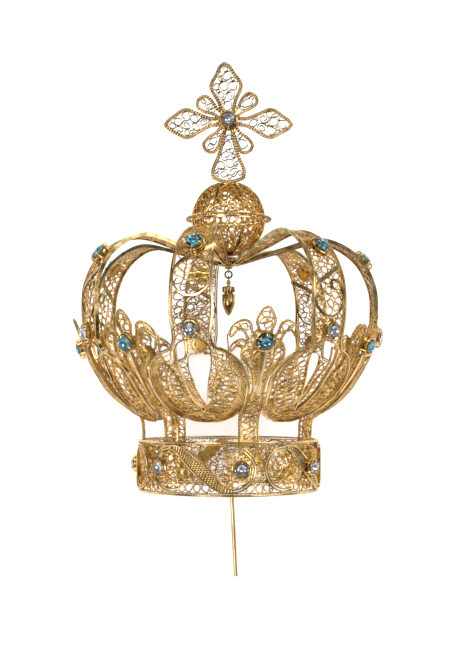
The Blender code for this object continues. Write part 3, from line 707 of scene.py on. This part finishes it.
def build_stone(place, turn, y, radius, seed):
    """A brilliant: a clear faceted front over a mirrored back with uneven facets."""
    wires = Wires(place, turn)
    rng = np.random.default_rng(int(10 * seed))
    step = 2 * pi / STONE_SIDES
    k = np.arange(STONE_SIDES)
    n = np.arange(2 * STONE_SIDES)
    table = [(0.56 * radius, (i + 0.5) * step, 0.72) for i in k]
    star = [(0.80 * radius, i * step, 0.42) for i in k]
    girdle = [(radius, i * step / 2, 0.06) for i in n]
    under = [(radius, i * step / 2, -0.04) for i in n]
    lower = [(0.42 * radius * rng.uniform(0.7, 1.35), (i + 0.5) * step + rng.uniform(-0.15, 0.15),
              -0.62 + rng.uniform(-0.15, 0.15)) for i in k]
    reach, angle, level = np.array(table + star + girdle + under + lower + [(0.0, 0.0, -1.0)]).T
    points = wires.place(reach * np.cos(angle + seed), y + reach * np.sin(angle + seed),
                         STONE_GIRDLE + level)
    # First point of the table, star, girdle, its under side, the lower facets, and the point
    t, s, g, u, w, tip = np.cumsum([0, 1, 1, 2, 2, 1]) * STONE_SIDES
    j, m = (k + 1) % STONE_SIDES, (n + 1) % (2 * STONE_SIDES)
    front = [
        (t + k)[None, :],
        np.stack([s + j, t + j, t + k], -1),
        np.stack([t + k, s + k, g + 2 * k + 1, s + j], -1),
        np.stack([s + k, g + 2 * k, g + 2 * k + 1], -1),
        np.stack([s + j, g + 2 * k + 1, g + 2 * j], -1),
        np.stack([u + n, u + m, g + m, g + n], -1)]
    behind = [
        np.stack([u + 2 * k + 1, u + 2 * k, w + k], -1),
        np.stack([u + 2 * j, u + 2 * k + 1, w + k], -1),
        np.stack([w + j, u + 2 * j, w + k], -1),
        np.stack([w + k, np.full(STONE_SIDES, tip), w + j], -1)]
    wires.put(points, front, 0)
    wires.add_faces(behind, 1, 0)
    return wires


# Pieces

def build_band():
    wires = Wires(band_sheet)
    for edge, inward in ((0.0, 1.0), (BAND_HEIGHT, -1.0)):
        wires.sweep(band_line(edge + inward * 0.28, 180), RIM_SECTION, finish=POLISHED, round_band=True)
        line = band_line(edge + inward * 0.85, int(BAND_LENGTH / 0.19))
        turns = round(BAND_LENGTH / 1.1) * pi / BAND_LENGTH
        wires.sweep(line, round_section(0.24, 0.24 * 0.52, 6, 0.05), twist=line[:, 0] * turns,
                    round_band=True)
    barriers, holes = [], []
    for middle in SCROLL_MIDDLES:
        barriers += scroll(wires, middle)
        holes += three_times(ribbon_outline(middle))
    for turn in BAND_STONE_TURNS:
        spot = (turn * BAND_MIDDLE, BAND_HEIGHT / 2)
        setting(wires, *spot, CLEAR_RADIUS)
        cups = three_times(ring_path(spot, CLEAR_RADIUS + 0.8))
        barriers += [(cup, 0.1, True) for cup in cups]
        holes += cups
    low, high, half = 1.1, BAND_HEIGHT - 1.1, BAND_LENGTH / 2
    line = np.column_stack([np.linspace(-half, half, 200), np.full(200, low)])
    barriers += [(line, 0.0, False), (line + [0.0, high - low], 0.0, False)]
    barriers += [(np.array([(x, low), (x, high)]), 0.0, False) for x in (-half, half)]
    outline = np.array([(-half, low), (half, low), (half, high), (-half, high)])
    fill(wires, outline, holes, barriers, BAND_LOOPS, 11, thickness=0.26, low=-0.45, high=-0.08,
         curls=0.2)
    return wires


def band_line(height, count):
    """Points of a line once round the band."""
    xs = np.linspace(0.0, BAND_LENGTH, count, endpoint=False)
    return np.column_stack([xs, np.full(count, height)])


def three_times(path):
    """A path on the band, and the same one a turn to either side."""
    return [path + [shift, 0.0] for shift in (-BAND_LENGTH, 0.0, BAND_LENGTH)]


def scroll_path(middle):
    """The middle line of one scroll on the band, and the ribbon's half width along it."""
    half = SCROLL_CENTRES / 2
    slant = acos(SCROLL_RADIUS / half)
    first = arc((middle - half, BAND_HEIGHT / 2), SCROLL_RADIUS, pi + SCROLL_END, slant)
    step = 0.35
    path = even(np.vstack([first, (np.array([2 * middle, BAND_HEIGHT]) - first)[::-1]]), step)
    along = (np.arange(len(path)) - (len(path) - 1) / 2) * step
    broad = 2 * sqrt(half ** 2 - SCROLL_RADIUS ** 2) + 2 * SCROLL_RADIUS * (pi / 2 - slant)
    swell = np.cos(np.clip(along / broad, -0.5, 0.5) * pi) ** 0.8
    return path, 0.33 + RIBBON_HALF_WIDTH * swell


def scroll(wires, middle):
    """One scroll: twin wires round two circles, which part round a broad slanting ribbon."""
    path, half = scroll_path(middle)
    barriers = []
    for border in (beside(path, half), beside(path, -half)):
        wires.sweep(border, ridge_section(0.2, -0.1, 0.85), finish=POLISHED)
        barriers += [(line, 0.17, False) for line in three_times(border)]
    ribbon = half > RIBBON_CUT
    line, reach = path[ribbon], half[ribbon]
    wires.sweep(line, box_section(-1.0, 1.0, -0.1, 0.1), width=reach)
    for share in (-0.7, -0.35, 0.0, 0.35, 0.7):
        wires.rope(even(beside(line, share * reach), 0.2), 0.29, 0.32, pitch=0.78, finish=POLISHED)
    # A small eye inside each circle
    eye = np.array([middle - SCROLL_CENTRES / 2 + 1.2, BAND_HEIGHT / 2 + SCROLL_RADIUS - 1.75])
    for spot in (eye, np.array([2 * middle, BAND_HEIGHT]) - eye):
        wires.ring(spot, 0.85, 0.3, ridge_section(0.15, -0.2, 0.5), WARM)
        wires.ring(spot, 0.4, 0.25, ridge_section(0.12, -0.2, 0.4), WARM)
        barriers += [(ring, 0.15, True) for ring in three_times(ring_path(spot, 0.85))]
    return barriers


def ribbon_outline(middle):
    path, half = scroll_path(middle)
    ribbon = half > RIBBON_CUT
    return np.vstack([beside(path, half)[ribbon], beside(path, -half)[ribbon][::-1]])


def arch_drawing():
    """The arch's profile, its outline's and opening's right halves drawn flat, and its stones' places."""
    knots = [(share * BAND_RADIUS, BAND_HEIGHT + lift, width * HALF_PITCH * share * BAND_RADIUS)
             for share, lift, width in ARCH_EDGE]
    end = HUB_RADIUS + GAP
    knots.append((end, HUB_BOTTOM + 1.4, 0.766 * HALF_PITCH * end))
    profile = Profile([(radius, height) for radius, height, _ in knots])
    edge = np.array([(width, profile.nearest(radius, height))
                     for radius, height, width in smooth_curve(knots, 0.8)])
    foot = [(0.0, -0.25), (1.6, -0.15)]
    half = even(smooth_curve(np.vstack([foot, edge[::3], edge[-1:]]), 0.6), 0.6)
    half[-1] = (edge[-1][0], profile.lengths[-1])
    opening = even(smooth_curve([(width, profile.above_band(lift))
                                 for lift, width in OPENING_EDGE], 0.4), 0.4)
    stones = [profile.above_band(lift) for lift in (LOW_STONE_HEIGHT, HIGH_STONE_HEIGHT)]
    return profile, half, opening, stones


def build_arch(turn, rise, seed, drawing, twins):
    """An arch. rise lifts its scroll, and twins is how many wires run beside each lobe's rim."""
    profile, half, opening, (low, high) = drawing
    wires = Wires(bent_sheet(profile), turn)
    outline, edge = mirrored(half), mirrored(opening)

    # Frame on the outline; the outline runs anticlockwise, so inside is to its left
    wires.sweep(outline, box_section(0.0, ARCH_FRAME, ARCH_BACK, 0.5), True, POLISHED)
    lobe = half[half[:, 1] < profile.above_band(LOBE_TOP)]
    strap = half[half[:, 1] >= profile.above_band(LOBE_TOP - 0.5)]
    for side in (1.0, -1.0):
        # The strap's edges take the darker gilt, painted dark reflection.
        wires.sweep(strap * [side, 1.0], box_section(-0.07, 0.03, ARCH_BACK - 0.03, 0.53), finish=PAINTED_SHADE_GOLD)
        for offset, top in TWIN_WIRES[:twins]:
            wires.sweep(beside(lobe[4:], offset) * [side, 1.0], box_section(-0.09, 0.09, -0.4, top))
        wires.rope(beside(strap[:-2], STRAP_ROPE) * [side, 1.0], 0.22, 0.2)

    # Inner line of the lobes, and legs from the strap's sides down to the foot of the opening
    foot_y = opening[0][1]
    inner = beside(lobe, np.linspace(2.6, 1.5, len(lobe)))
    inner = inner[inner[:, 0] > 4.0]
    lobe_line = even(smooth_curve(np.vstack([opening[:1], [(2.2, foot_y - 0.35)], inner[::4]]), 0.5), 0.5)
    side_x = strap[0][0] - 0.5
    legs = smooth_curve([(side_x, low - 1.5), (side_x - 0.2, low - 6.5), (4.9, low - 13.0),
                         (3.2, foot_y + 5.2), (0.0, foot_y)], 0.5)
    for side in (1.0, -1.0):
        wires.sweep(lobe_line * [side, 1.0], ridge_section(0.16, -0.45, 0.4))
        wires.sweep(legs * [side, 1.0], ridge_section(0.15, -0.4, 0.35))
    wires.sweep(edge, box_section(-0.2, 0.12, -0.5, 0.45), True, POLISHED)

    slanting, path = arch_scroll(np.array([0.0, (low + high) / 2 + rise]))
    width = np.concatenate([np.full(len(slanting) - 1, 3.0), np.linspace(3.0, 1.0, 8),
                            np.ones(len(path) - len(slanting) - 7)])
    # Away from the front arch the strip takes the darker gilt, painted shade.
    wires.sweep(path, box_section(-0.17, 0.17, -0.3, 0.42), finish=POLISHED if twins > 1 else PAINTED_SHADE_GOLD,
                width=width)
    setting(wires, 0.0, low, CLEAR_RADIUS)
    setting(wires, 0.0, high, BLUE_RADIUS)

    # The loops are finer above the upper stone
    cups = [ring_path((0.0, low), CLEAR_RADIUS + CUP_ROOM), ring_path((0.0, high), BLUE_RADIUS + CUP_ROOM)]
    line, reach = high + 2.2, 6.0
    above = np.array([(-reach, line), (reach, line), (reach, line + 40.0), (-reach, line + 40.0)])
    below = np.array([(-18.0, -1.0), (18.0, -1.0), (18.0, line), (-18.0, line)])
    barriers = [(outline, 0.4, True), (edge, 0.2, True), (path, 0.2, False), (slanting, 0.45, False)]
    barriers += [(cup, 0.0, True) for cup in cups]
    for side in (1.0, -1.0):
        barriers += [(lobe_line * [side, 1.0], 0.16, False), (legs * [side, 1.0], 0.15, False),
                     (beside(lobe[4:], 0.28 + 0.42 * twins) * [side, 1.0], 0.1, False),
                     (beside(strap, STRAP_ROPE) * [side, 1.0], 0.2, False)]
    barriers.append((above[:2], 0.0, False))
    fill(wires, outline, [edge, above] + cups, barriers, ARCH_LOOPS, seed, stretch=1.35,
         lean=radians(8.0), curls=0.06)
    fill(wires, outline, [below] + cups, barriers, ARCH_TOP_LOOPS, seed + 100, thickness=0.24,
         stretch=1.2, lean=radians(35.0))
    return wires


def arch_scroll(middle):
    """A strip's slanting start at the strap's side, and its whole line round the ring into an eye."""
    start = Vector((RING_RADIUS + 0.6, SLANT_RISE))
    touch = RING_RADIUS + 0.2
    reach = sqrt(start.length_squared - touch ** 2)
    heading = atan2(-start.y, -start.x) - asin(touch / start.length)
    foot = start + Vector((cos(heading), sin(heading))) * reach
    end = radians(60.0) + 2 * pi
    ring = arc(middle, touch, atan2(foot.y, foot.x), end)
    eye = middle + (touch - HOOK_RADIUS) * np.array([cos(end), sin(end)])
    hook = arc(eye, HOOK_RADIUS, end, end + radians(230.0), 0.3)
    slanting = even(np.array([start, foot]) + middle, 0.5)
    return slanting, np.vstack([slanting[:-1], ring, hook[1:]])


def build_fleur(turn, seed, drawing):
    profile, outline, petal_edge, stone_y = drawing
    wires = Wires(bent_sheet(profile), turn)
    wires.rope(outline, 0.24, 0.1, closed=True, across=0.26, pitch=0.8)
    inner = beside(even(outline, 0.45, True), 0.62, True)
    wires.sweep(inner, ridge_section(0.11, -0.3, 0.3), True)
    for side in (1.0, -1.0):
        wires.sweep(petal_edge * [side, 1.0], ridge_section(0.17, -0.3, 0.4))
    spine = even(np.array([(0.0, stone_y - 2.2), (0.0, profile.above_band(12.5))]), 0.6)
    wires.sweep(spine, np.array([(-0.75, 0.2), (0.75, 0.2), (0.75, 0.45), (0.35, 0.66), (-0.35, 0.66),
                                 (-0.75, 0.45)]), finish=POLISHED, width=np.linspace(1.0, 0.55, len(spine)))
    setting(wires, 0.0, stone_y, BLUE_RADIUS, rosette=False)
    cup = ring_path((0.0, stone_y), BLUE_RADIUS + CUP_ROOM)
    barriers = [(inner, 0.13, True), (petal_edge, 0.17, False), (petal_edge * [-1.0, 1.0], 0.17, False),
                (spine, 0.75, False), (cup, 0.0, True)]
    fill(wires, inner, [cup], barriers, FLEUR_LOOPS, seed, low=-0.22, high=0.2, stretch=1.4,
         lean=radians(30.0))
    return wires


def fleur_drawing():
    """The fleur-de-lis's profile, its outline and petals' edge drawn flat, and its stone's place."""
    stem_radius = BAND_INSIDE - GAP - RIM
    knots = [(stem_radius, BAND_HEIGHT - STEM_DEPTH), (stem_radius, BAND_HEIGHT + GAP)]
    knots += [(share * BAND_RADIUS, BAND_HEIGHT + lift) for share, lift in FLEUR_PROFILE]
    profile = Profile(knots)
    half = [(STEM_HALF_WIDTH, -STEM_DEPTH), (STEM_HALF_WIDTH, GAP), (2.37, STEM_TOUCH_HEIGHT)]
    half += [(share * FLEUR_HALF_WIDTH, lift) for share, lift in FLEUR_EDGE] + [(0.0, FLEUR_TIP)]
    half = np.array([(x, profile.above_band(lift)) for x, lift in half])
    outline = mirrored(smooth_curve(half, 0.35))
    petal_edge = smooth_curve([(share * FLEUR_HALF_WIDTH, profile.above_band(lift))
                               for share, lift in PETAL_EDGE], 0.45)
    return profile, outline, petal_edge, profile.above_band(FLEUR_STONE_HEIGHT)


def petal(half, turn):
    """A petal's outline, turned from straight up."""
    knots = mirrored([(width, distance) for distance, width in half])
    return turned(smooth_loop(knots, 0.4), radians(turn))


def build_cross():
    wires = Wires(upright_panel(CROSS_MIDDLE))
    large = [(TOP_PETAL, TOP_LEAN), (SIDE_PETAL, 90.0 + SIDE_DROOP), (SIDE_PETAL, -90.0 - SIDE_DROOP),
             (FOOT_PETAL, 180.0)]
    small = [(SMALL_PETAL, turn - 90.0) for turn in SMALL_PETAL_TURNS]
    cup = ring_path((0.0, 0.0), CROSS_STONE_RADIUS + CUP_ROOM)
    for index, (half, turn) in enumerate(large + small):
        outline = petal(half, turn)
        radius, offsets, room = (0.36, (0.34, 0.84), 1.1) if half is not SMALL_PETAL \
            else (0.32, (0.32, 0.76), 1.0)
        for across in offsets:
            wires.rope(outline, radius, 0.0, closed=True, across=across, pitch=0.72, finish=POLISHED)
        inner = beside(even(outline, 0.4, True), room, True)
        # The loops take the darker gilt, painted shade.
        fill(wires, inner, [cup], [(inner, 0.0, True), (cup, 0.0, True)], CROSS_LOOPS, 40 + index,
             low=-0.28, high=0.28, finish=PAINTED_SHADE_GOLD, stretch=1.15, lean=radians(turn + 60.0), curls=0.45)
    setting(wires, 0.0, 0.0, CROSS_STONE_RADIUS)
    wires.ring((0.0, 0.0), 1.6, 0.4, box_section(-1.0, 0.6, -0.35, 0.15), WARM)
    return wires


def build_half_globe(below):
    radius = GLOBE_RADIUS - 0.35
    side = -1.0 if below else 1.0
    wires = Wires(ball_sheet(radius, GLOBE_MIDDLE, below))
    ys = np.linspace(0.3, radius * GLOBE_TOP, 26)
    edge = np.column_stack([pi * radius / GLOBE_GORES * np.cos(ys / radius), ys])
    outline = np.vstack([edge, edge[::-1] * [-1.0, 1.0]])
    # A strip that runs down from the cap to a point
    strip = even(radius * np.radians([(0.0, 74.0), (0.0, 28.0)]), 0.5)
    for k in range(GLOBE_GORES):
        wires.turn = 2 * pi * (k + 0.5) / GLOBE_GORES
        fill(wires, outline, [], [(outline, 0.02, True)], GLOBE_LOOPS, 200 + k + (50 if below else 0),
             thickness=0.28, low=-0.3, high=0.22, curls=0.1, finish=WARM, stretch=1.15, lean=pi / 2)
        # The strip takes the darker gilt, painted shade.
        wires.sweep(strip, ridge_section(0.6, -0.2, 0.45), finish=PAINTED_SHADE_GOLD,
                    width=np.linspace(1.0, 0.2, len(strip)))
    wires.turn = 0.0
    for rise, lift, half in ((0.03, 0.25, 0.25), (GLOBE_TOP, 0.0, 0.2)):
        wires.place = level_panel(GLOBE_MIDDLE + side * (radius * sin(rise) + lift))
        wires.ring((0.0, 0.0), (radius + 0.05) * cos(rise), 0.5, box_section(-0.25, 0.25, -half, half),
                   POLISHED)
    reach = GLOBE_RADIUS - 0.1
    cap = [(reach * cos(rise), GLOBE_MIDDLE + side * reach * sin(rise))
           for rise in np.radians([66.0, 68.0, 74.0, 80.0, 85.0])]
    cap.append((0.0, GLOBE_MIDDLE + side * reach))
    under = [(max(0.0, r - 0.25), z - side * 0.5) for r, z in cap]
    profile = under[::-1] + cap
    wires.lathe(profile[::-1] if below else profile, 32, finish=WARM)
    return wires


def build_ring():
    wires = Wires(level_panel(GLOBE_MIDDLE))
    for radius in (10.7, 11.65):
        wires.rope(ring_path((0.0, 0.0), radius, 0.3), 0.26, 0.0, closed=True, pitch=0.7)
    for k in range(COLLAR_CURLS):
        turn = 2 * pi * k / COLLAR_CURLS
        centre = (COLLAR_RADIUS * cos(turn), COLLAR_RADIUS * sin(turn))
        wires.sweep(arc(centre, 0.5, turn, turn + radians(300.0), 0.3), ridge_section(0.13, -0.22, 0.25))
    return wires


def build_hub():
    wires = Wires(level_panel(0.0))
    wires.lathe([(radius, HUB_BOTTOM + rise) for radius, rise in HUB_PROFILE], 36)
    hanging_eye(wires, HUB_BOTTOM - 0.45)
    return wires


def hanging_eye(wires, height):
    """A small upright eye that passes through the pendant's link."""
    wires.place, wires.turn = upright_panel(height), pi / 2
    wires.ring((0.0, 0.0), 0.55, 0.2, round_section(0.16, 0.16, 8))


def build_pendant():
    wires = Wires(level_panel(0.0))
    wires.lathe([(radius, PENDANT_TOP - depth) for radius, depth in PENDANT_PROFILE][::-1], PENDANT_SIDES)
    # Grooves down the two cylinders
    body = wires.points[-1]
    side = np.round(np.arctan2(body[:, 1], body[:, 0]) * PENDANT_SIDES / (2 * pi)).astype(int)
    grooved = (np.hypot(body[:, 0], body[:, 1]) > 1.7) & (side % 2 == 0)
    body[:, :2] *= np.where(grooved, 0.86, 1.0)[:, None]
    hanging_eye(wires, PENDANT_TOP + 0.5)
    return wires


def build_pendant_ring():
    wires = Wires(upright_panel(PENDANT_RING_MIDDLE))
    wires.ring((0.0, 0.0), 0.95, 0.2, round_section(0.25, 0.25, 8))
    return wires


def build_pin():
    wires = Wires(upright_panel(0.0))
    path = smooth_curve([(bend, PIN_TOP - share * PIN_LENGTH) for share, bend in PIN_BEND], 0.8)
    wires.sweep(path, round_section(PIN_RADIUS, PIN_RADIUS, 16))
    return wires


def build_bridge():
    wires = Wires(level_panel(BRIDGE_HEIGHT))
    reach = BAND_INSIDE - 0.3
    wires.sweep(even([(0.0, -reach), (0.0, reach)], 2.0), BRIDGE_SECTION)
    return wires


# Studio

def floor():
    """A pale floor that glows a little, so that shadows stay faint."""
    mesh = bpy.data.meshes.new("floor")
    mesh.from_pydata([(FLOOR_REACH * x, FLOOR_REACH * y, 0.0)
                      for x, y in ((-1, -1), (1, -1), (1, 1), (-1, 1))], [], [(0, 1, 2, 3)])
    material, _ = shaded("pale floor", FLOOR_COLOUR, {
        "Roughness": 1.0, "Emission Color": (*FLOOR_COLOUR, 1.0), "Emission Strength": FLOOR_GLOW})
    mesh.materials.append(material)
    ground = bpy.data.objects.new("floor", mesh)
    bpy.context.scene.collection.objects.link(ground)


def area_light(name, place, size, power):
    data = bpy.data.lights.new(name, "AREA")
    data.shape = "RECTANGLE"
    data.size, data.size_y = size
    data.energy = power
    light = bpy.data.objects.new(name, data)
    light.location = place
    light.rotation_euler = (LIT_SPOT - Vector(place)).to_track_quat("-Z", "Y").to_euler()
    bpy.context.scene.collection.objects.link(light)


def world():
    """Soft greys by height, which the polished metal mirrors."""
    made = bpy.data.worlds.new("studio")
    bpy.context.scene.world = made
    made.use_nodes = True
    nodes = made.node_tree.nodes
    background = nodes["Background"]
    background.inputs["Strength"].default_value = WORLD_STRENGTH
    place = nodes.new("ShaderNodeTexCoord")
    split = nodes.new("ShaderNodeSeparateXYZ")
    ramp = nodes.new("ShaderNodeValToRGB")
    ramp.color_ramp.elements[0].color = (0.9, 0.9, 0.9, 1.0)
    ramp.color_ramp.elements[1].color = (0.55, 0.55, 0.56, 1.0)
    for position, value in WORLD_GREYS:
        ramp.color_ramp.elements.new(position).color = (value, value, value, 1.0)
    link(place, "Generated", split, "Vector")
    link(split, "Z", ramp, "Fac")
    link(ramp, "Color", background, "Color")


def camera(matrix):
    """The photo's camera, level in front of the upright crown."""
    data = bpy.data.cameras.new("camera")
    data.sensor_fit = "VERTICAL"
    data.sensor_height = 36.0
    data.lens = LENS
    data.shift_x, data.shift_y = LENS_SHIFT
    made = bpy.data.objects.new("camera", data)
    out = Vector((sin(CAMERA_TURN), -cos(CAMERA_TURN), 0.0))
    eye = matrix @ (CAMERA_REACH * out + Vector((0.0, 0.0, CAMERA_HEIGHT)))
    axes = matrix.to_3x3().normalized()
    backward, up = axes @ out, axes @ Vector((0.0, 0.0, 1.0))
    turn = Matrix((up.cross(backward), up, backward)).transposed()
    made.matrix_world = Matrix.Translation(eye) @ turn.to_4x4()
    bpy.context.scene.collection.objects.link(made)
    bpy.context.scene.camera = made


def studio(matrix):
    floor()
    for light in LIGHTS:
        area_light(*light)
    world()
    camera(matrix)
    settings = bpy.context.scene.view_settings
    settings.view_transform = "Standard"
    settings.look = "None"


# The crown

def show_metal(matrix, drawing, lily):
    """Every piece of metal."""
    golds = [gold("gilt wire", (0.83, 0.53, 0.18), (0.48, 0.29, 0.075), 0.30, 420.0, 0.15),
             gold("warm gilt wire", (0.85, 0.52, 0.14), (0.56, 0.32, 0.06), 0.30, 500.0, 0.15),
             gold("polished gilding", (0.86, 0.62, 0.30), (0.54, 0.36, 0.14), 0.2, 260.0, 0.05),
             # A darker gilt, painted shade and dark reflection for edges, strips and the cross's loops.
             gold("gilt with painted dark reflection", (0.52, 0.38, 0.18), (0.20, 0.14, 0.05), 0.16, 420.0, 0.1)]
    dark = [gold("turned gilding", (0.50, 0.34, 0.13), (0.24, 0.155, 0.05), 0.16, 300.0, 0.05)]
    pin = [gold("gilt pin", (0.86, 0.67, 0.38), (0.70, 0.51, 0.26), 0.3, 150.0, 0.05)]

    def gilt(name, wires, replaced):
        show(name, wires, matrix, golds, [replaced])

    gilt("band_filigree", build_band(), "band")
    for k, (turn, rise) in enumerate(zip(ARCH_TURNS, RING_RISES), 1):
        twins = len(TWIN_WIRES) if k == 1 else 1
        gilt(f"arch_{k}_filigree", build_arch(turn, rise, 20 + k, drawing, twins), f"arch_{k}")
    for k, turn in enumerate(FLEUR_TURNS, 1):
        gilt(f"fleur_{k}_filigree", build_fleur(turn, 60 + k, lily), f"fleur_{k}")
    gilt("globe_lower_filigree", build_half_globe(True), "globe_lower")
    gilt("globe_upper_filigree", build_half_globe(False), "globe_upper")
    gilt("globe_collar", build_ring(), "globe_ring")
    gilt("cross_filigree", build_cross(), "cross")
    show("turned_hub", build_hub(), matrix, dark, ["hub"])
    show("turned_pendant", build_pendant(), matrix, dark, ["pendant"])
    show("pendant_link", build_pendant_ring(), matrix, dark, ["pendant_ring"])
    show("bent_pin", build_pin(), matrix, pin, ["head_pin"])
    show("pin_strip", build_bridge(), matrix, pin, ["pin_bridge"])


def show_stones(matrix, drawing, lily):
    """Every stone, in its cup."""
    # Each foil's last value is its painted glow.
    blue = (BLUE_RADIUS, [crystal("blue crystal", (0.66, 0.86, 0.91)),
                          foil("blue foil", (0.22, 0.50, 0.59), 0.05)], "blue_stone")
    clear = (CLEAR_RADIUS, [crystal("clear crystal", (0.97, 0.98, 1.0)),
                            foil("silver foil", (0.70, 0.70, 0.74), 0.05)], "clear_stone")
    low, high = drawing[3]
    rows = (("stone_band", band_sheet, BAND_STONE_TURNS, BAND_HEIGHT / 2, *clear),
            ("stone_arch_low", bent_sheet(drawing[0]), ARCH_TURNS, low, *clear),
            ("stone_arch_high", bent_sheet(drawing[0]), ARCH_TURNS, high, *blue),
            ("stone_fleur", bent_sheet(lily[0]), FLEUR_TURNS, lily[3], *blue))
    for k in range(1, ARCHES + 1):
        for name, sheet, turns, y, radius, finish, slot in rows:
            cut = build_stone(sheet, turns[k - 1], y, radius, 0.3 * k)
            show(f"cut_{name}_{k}", cut, matrix, finish, [f"{name}_{k}"])
    cut = build_stone(upright_panel(CROSS_MIDDLE), 0.0, 0.0, CROSS_STONE_RADIUS, 0.2)
    show("cut_stone_cross", cut, matrix, clear[1], ["stone_cross"])


def main():
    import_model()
    matrix = crown_matrix()
    drawing, lily = arch_drawing(), fleur_drawing()
    show_metal(matrix, drawing, lily)
    show_stones(matrix, drawing, lily)
    studio(matrix)


main()
